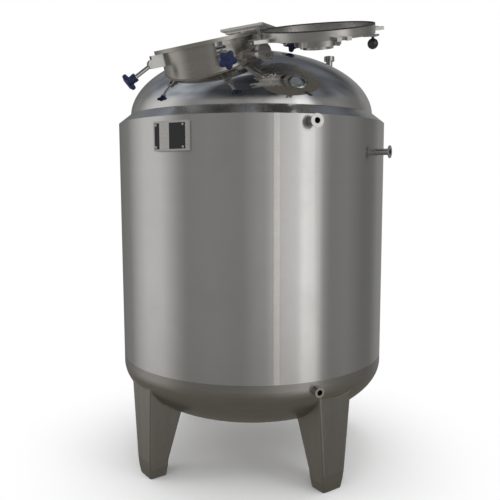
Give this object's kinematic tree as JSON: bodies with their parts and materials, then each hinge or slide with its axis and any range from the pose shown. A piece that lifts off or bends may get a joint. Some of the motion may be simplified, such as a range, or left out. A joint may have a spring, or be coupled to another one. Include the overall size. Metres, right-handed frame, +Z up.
{
  "type": "bulk milk tank",
  "caption": "Upright insulated stainless milk tank on folded legs, with a domed polished top, tilted round manway, opened hinged lid with sight glass, swing bolts and pipe connections.",
  "frame": {"origin": "on the tank axis at floor level, under the four feet", "axes": "+Z up along the tank axis; -Y is the front, with the nameplate and the side inlet; +X is to the right seen from the front"},
  "size_m": [1.15, 1.3221, 1.889],
  "materials": {
    "satin_stainless": "brushed round the body",
    "polished_stainless": "mirror polished",
    "plate_stainless": "fine satin",
    "leg_stainless": "dull satin",
    "mineral_wool": "matt",
    "blue_plastic": "moulded",
    "black_plastic": "gloss",
    "black_rubber": "matt",
    "clear_glass": "clear"
  },
  "bodies": {
    "tank": {"agitator_blank_bolts": "plate_stainless", "agitator_blank_plate": "plate_stainless", "agitator_neck": "plate_stainless", "agitator_pad": "plate_stainless", "base_ring": "leg_stainless", "bottom_head": "satin_stainless", "bottom_insulation": "mineral_wool", "bottom_outlet_nozzle": "plate_stainless", "cladding_bottom": "leg_stainless", "cladding_seam_strip": "satin_stainless", "cladding_shoulder": "polished_stainless", "cladding_wall": "satin_stainless", "cleaning_pipe": "plate_stainless", "cooling_jacket": "leg_stainless", "feet": "leg_stainless", "hinge_bracket": "plate_stainless", "hinge_pin": "plate_stainless", "inner_shell": "satin_stainless", "jacket_inlet_coupling": "plate_stainless", "jacket_outlet_nozzle": "plate_stainless", "leg_front_left": "leg_stainless", "leg_front_right": "leg_stainless", "leg_rear_left": "leg_stainless", "leg_rear_right": "leg_stainless", "manway_flange": "plate_stainless", "manway_neck": "plate_stainless", "nameplate": "plate_stainless", "nameplate_bracket": "plate_stainless", "nameplate_screws": "plate_stainless", "side_inlet_nozzle": "plate_stainless", "spray_ball": "plate_stainless", "swing_bolt_lugs": "plate_stainless", "swing_bolt_pins": "plate_stainless", "top_head": "polished_stainless", "vent_cap": "plate_stainless", "vent_clamp": "plate_stainless", "vent_nozzle": "plate_stainless", "wall_insulation": "mineral_wool"},
    "lid": {"lid_ball_knob": "black_plastic", "lid_ears": "plate_stainless", "lid_gasket": "black_rubber", "lid_handle_plate": "plate_stainless", "lid_hinge_arms": "plate_stainless", "lid_pan": "plate_stainless", "sight_glass_base": "plate_stainless", "sight_glass_disc": "clear_glass", "sight_glass_ring": "plate_stainless", "sight_glass_screws": "plate_stainless"},
    "bolt_left": {"swing_bolt_left": "plate_stainless"},
    "washer_left": {"bolt_washer_left": "plate_stainless"},
    "knob_left": {"star_knob_left": "blue_plastic"},
    "bolt_front": {"swing_bolt_front": "plate_stainless"},
    "washer_front": {"bolt_washer_front": "plate_stainless"},
    "knob_front": {"star_knob_front": "blue_plastic"},
    "bolt_right": {"swing_bolt_right": "plate_stainless"},
    "washer_right": {"bolt_washer_right": "plate_stainless"},
    "knob_right": {"star_knob_right": "blue_plastic"},
    "bolt_rear": {"swing_bolt_rear": "plate_stainless"},
    "washer_rear": {"bolt_washer_rear": "plate_stainless"},
    "knob_rear": {"star_knob_rear": "blue_plastic"}
  },
  "joints": [
    {"name": "lid_hinge", "type": "hinge", "parent": "tank", "child": "lid", "pos_m": [0.03397, -0.39916, 1.79052], "axis": [0.4565, 0.8427, 0.2853], "range_deg": [-188, 0]},
    {"name": "bolt_swing_left", "type": "hinge", "parent": "tank", "child": "bolt_left", "pos_m": [-0.38035, -0.35445, 1.67064], "axis": [0.3558, -0.9242, -0.1391], "range_deg": [-114, 8]},
    {"name": "washer_slide_left", "type": "slide", "parent": "bolt_left", "child": "washer_left", "axis": [-0.7562, -0.1973, -0.6239], "range_m": [0, 0.012]},
    {"name": "knob_spin_left", "type": "hinge", "parent": "washer_left", "child": "knob_left", "pos_m": [-0.44046, -0.37013, 1.62104], "axis": [-0.7562, -0.1973, -0.6239], "range_deg": [0, 2160]},
    {"name": "bolt_swing_front", "type": "hinge", "parent": "tank", "child": "bolt_front", "pos_m": [-0.10831, -0.51465, 1.68923], "axis": [0.9621, 0.148, 0.2291], "range_deg": [-107, 8]},
    {"name": "washer_slide_front", "type": "slide", "parent": "bolt_front", "child": "washer_front", "axis": [0.24, -0.8584, -0.4533], "range_m": [0, 0.012]},
    {"name": "knob_spin_front", "type": "hinge", "parent": "washer_front", "child": "knob_front", "pos_m": [-0.08922, -0.5829, 1.6532], "axis": [0.24, -0.8584, -0.4533], "range_deg": [0, 2160]},
    {"name": "bolt_swing_right", "type": "hinge", "parent": "tank", "child": "bolt_right", "pos_m": [0.06624, -0.19243, 1.79833], "axis": [-0.3875, 0.9127, 0.13], "range_deg": [-110, 0]},
    {"name": "washer_slide_right", "type": "slide", "parent": "bolt_right", "child": "washer_right", "axis": [0.9132, 0.3993, -0.081], "range_m": [0, 0.012]},
    {"name": "knob_spin_right", "type": "hinge", "parent": "washer_right", "child": "knob_right", "pos_m": [0.13884, -0.16068, 1.79189], "axis": [0.9132, 0.3993, -0.081], "range_deg": [0, 2160]},
    {"name": "bolt_swing_rear", "type": "hinge", "parent": "tank", "child": "bolt_rear", "pos_m": [-0.21084, -0.04153, 1.77659], "axis": [-0.9548, -0.1816, -0.2353], "range_deg": [-94, 0]},
    {"name": "washer_slide_rear", "type": "slide", "parent": "bolt_rear", "child": "washer_rear", "axis": [-0.211, 0.9717, 0.1064], "range_m": [0, 0.012]},
    {"name": "knob_spin_rear", "type": "hinge", "parent": "washer_rear", "child": "knob_rear", "pos_m": [-0.22762, 0.03572, 1.78504], "axis": [-0.211, 0.9717, 0.1064], "range_deg": [0, 2160]}
  ],
  "couplings": [
    {"joint": "washer_slide_left", "follows": "knob_spin_left", "m_per_rad": 0.00031831},
    {"joint": "washer_slide_front", "follows": "knob_spin_front", "m_per_rad": 0.00031831},
    {"joint": "washer_slide_right", "follows": "knob_spin_right", "m_per_rad": 0.00031831},
    {"joint": "washer_slide_rear", "follows": "knob_spin_rear", "m_per_rad": 0.00031831}
  ]
}
